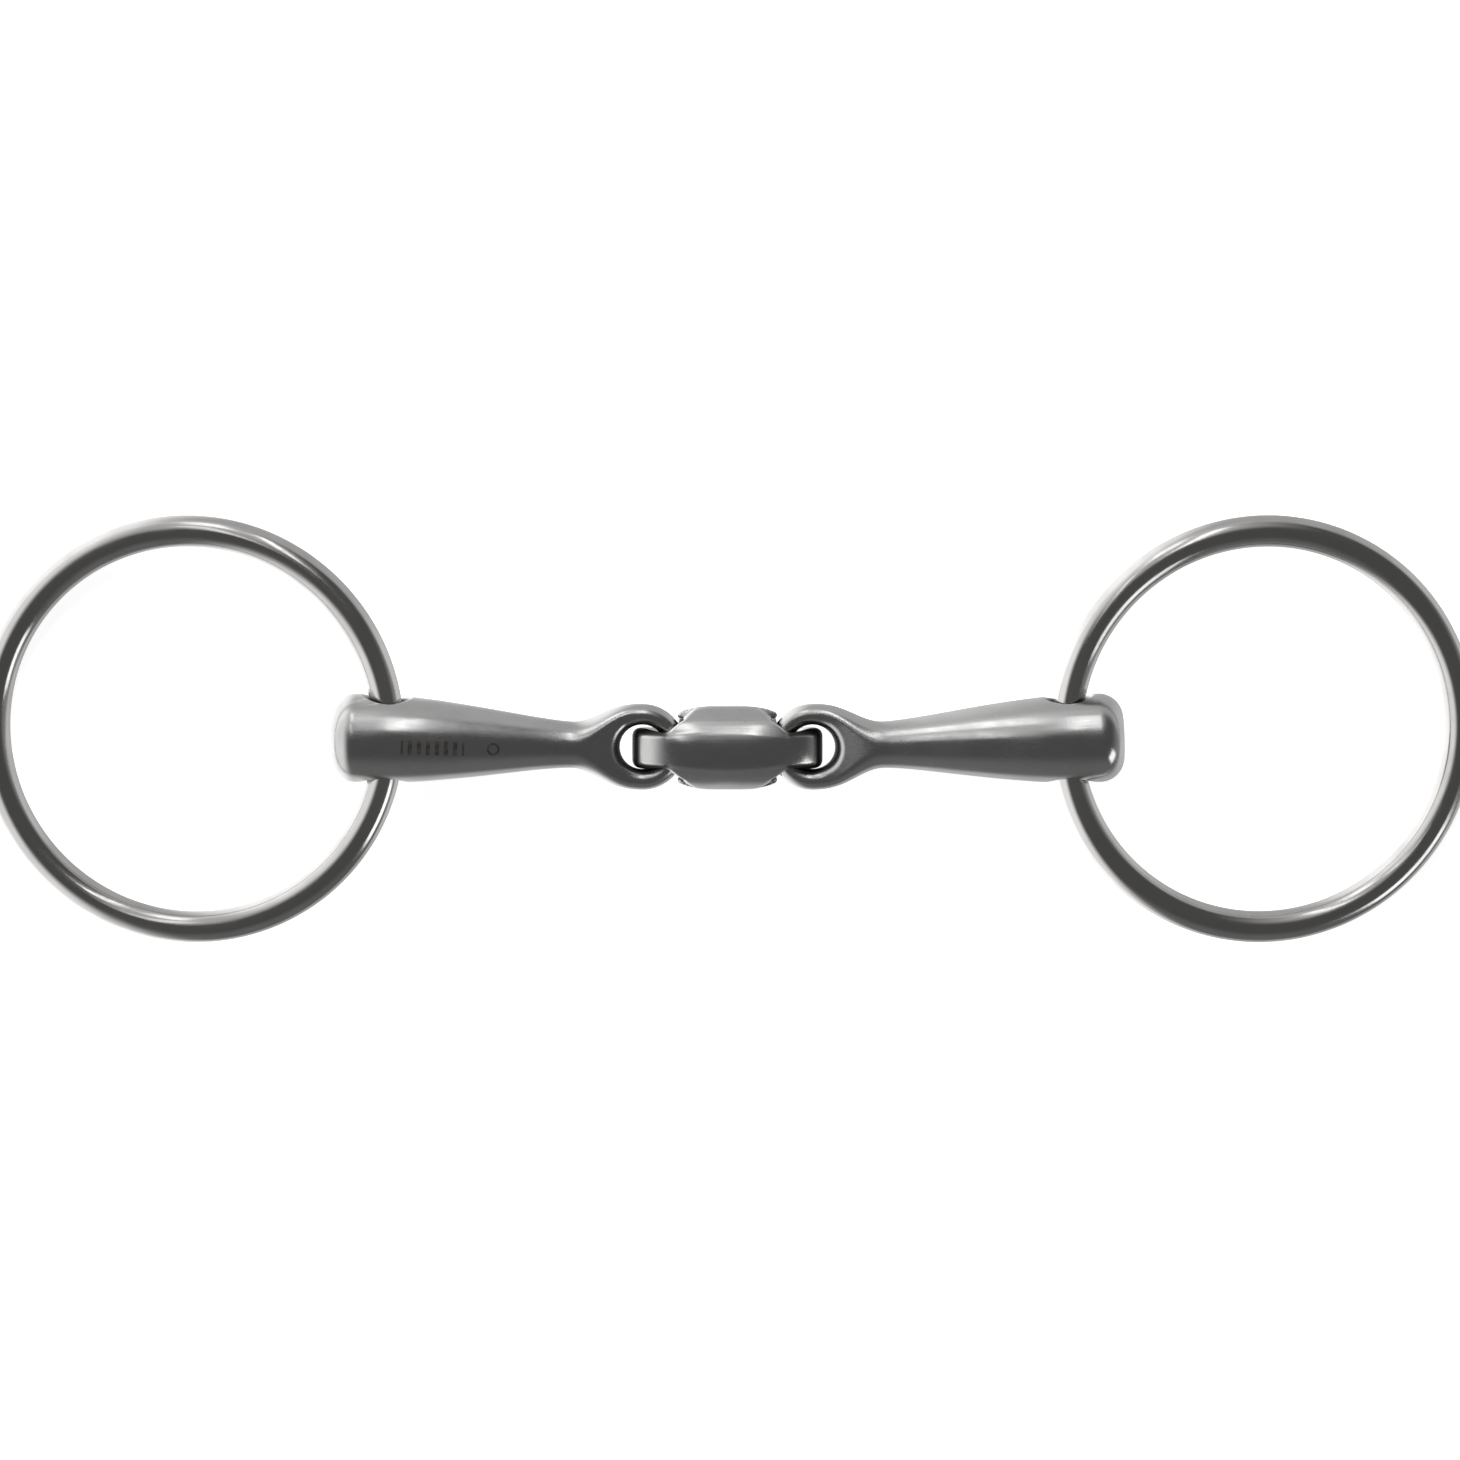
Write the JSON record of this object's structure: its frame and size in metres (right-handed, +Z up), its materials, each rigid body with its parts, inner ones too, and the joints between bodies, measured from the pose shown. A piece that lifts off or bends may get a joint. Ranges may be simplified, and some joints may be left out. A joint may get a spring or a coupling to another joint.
{
  "type": "snaffle bit",
  "caption": "Loose-ring snaffle bit in polished stainless steel, with a jointed mouthpiece whose tapered arms meet at a lozenge link.",
  "frame": {"origin": "on the surface that the bit lies on, under the middle of the line between the two ring centres", "axes": "+X along the mouthpiece towards the right ring, +Y towards the upper side of the rings, +Z up from the surface"},
  "size_m": [0.2864, 0.082, 0.017],
  "materials": {
    "ring_steel": "polished",
    "mouthpiece_steel": "polished satin",
    "link_steel": "polished satin"
  },
  "bodies": {
    "centre_link": {"centre_lozenge": "link_steel"},
    "left_arm": {"left_cannon": "mouthpiece_steel"},
    "left_cheek_ring": {"left_ring": "ring_steel"},
    "right_arm": {"right_cannon": "mouthpiece_steel"},
    "right_cheek_ring": {"right_ring": "ring_steel"}
  },
  "joints": [
    {"name": "left_cannon_fold", "type": "hinge", "parent": "centre_link", "child": "left_arm", "pos_m": [-0.01, -0.00339, 0.00625], "axis": [0, -1, 0], "range_deg": [-38, 42]},
    {"name": "left_ring_swivel", "type": "hinge", "parent": "left_arm", "child": "left_cheek_ring", "pos_m": [-0.06492, -0.00137, 0.0084], "axis": [-0.0366, -0.9993, 0], "range_deg": [-90, 80]},
    {"name": "right_cannon_fold", "type": "hinge", "parent": "centre_link", "child": "right_arm", "pos_m": [0.01, -0.00339, 0.00625], "axis": [0, 1, 0], "range_deg": [-38, 42]},
    {"name": "right_ring_swivel", "type": "hinge", "parent": "right_arm", "child": "right_cheek_ring", "pos_m": [0.06492, -0.00137, 0.0084], "axis": [-0.0366, 0.9993, 0], "range_deg": [-90, 80]}
  ]
}
